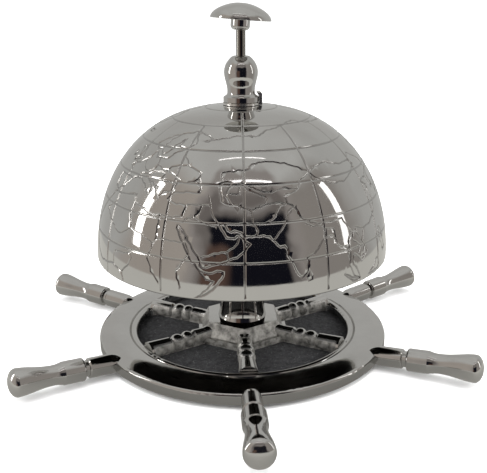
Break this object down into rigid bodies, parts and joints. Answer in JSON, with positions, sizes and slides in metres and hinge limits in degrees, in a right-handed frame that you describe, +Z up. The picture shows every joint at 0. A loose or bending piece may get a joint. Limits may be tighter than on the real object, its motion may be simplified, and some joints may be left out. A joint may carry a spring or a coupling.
{
  "type": "service bell",
  "caption": "Desk call bell on a ship's-wheel base: pressing the button on top swings a hinged striker against the inside of the domed bell.",
  "frame": {"origin": "middle of the felt's underside, on the bell's axis, where the object stands on a table", "axes": "+Z up along the bell's axis, -Y towards the front handle, +X to the right"},
  "size_m": [0.152, 0.1734, 0.1188],
  "materials": {
    "polished_nickel": "mirror polished, slightly warm",
    "steel": "plain bright steel",
    "brass": "turned",
    "felt": "dark pressed felt",
    "fibre": "vulcanised fibre"
  },
  "bodies": {
    "stand": {"base_screw": "steel", "bracket_screws": "steel", "column": "polished_nickel", "dome": "polished_nickel", "felt_pad": "felt", "fibre_washer": "fibre", "finial_nut": "polished_nickel", "handle_1": "polished_nickel", "handle_2": "polished_nickel", "handle_3": "polished_nickel", "handle_4": "polished_nickel", "handle_5": "polished_nickel", "handle_6": "polished_nickel", "lock_washer": "steel", "pivot_clip": "steel", "pivot_pin": "steel", "return_spring": "steel", "spring_seat": "brass", "striker_bracket": "steel", "tab_washer": "polished_nickel", "top_bush": "polished_nickel", "wheel_base": "polished_nickel"},
    "plunger": {"push_knob": "polished_nickel", "plunger_rod": "steel", "retaining_clip": "steel", "spring_washer": "steel"},
    "striker": {"striker_lever": "steel", "hammer": "brass", "hammer_nut": "steel"}
  },
  "joints": [
    {"name": "plunger_press", "type": "slide", "parent": "stand", "child": "plunger", "axis": [0, 0, -1], "range_m": [0, 0.005], "stiffness_N_per_m": 500, "springref_m": -0.003, "deforming": ["return_spring"]},
    {"name": "striker_swing", "type": "hinge", "parent": "stand", "child": "striker", "pos_m": [0, 0.013, 0.0568], "axis": [1, 0, 0], "range_deg": [0, 22.4]}
  ],
  "couplings": [
    {"joint": "striker_swing", "follows": "plunger_press", "rad_per_m": 78}
  ]
}
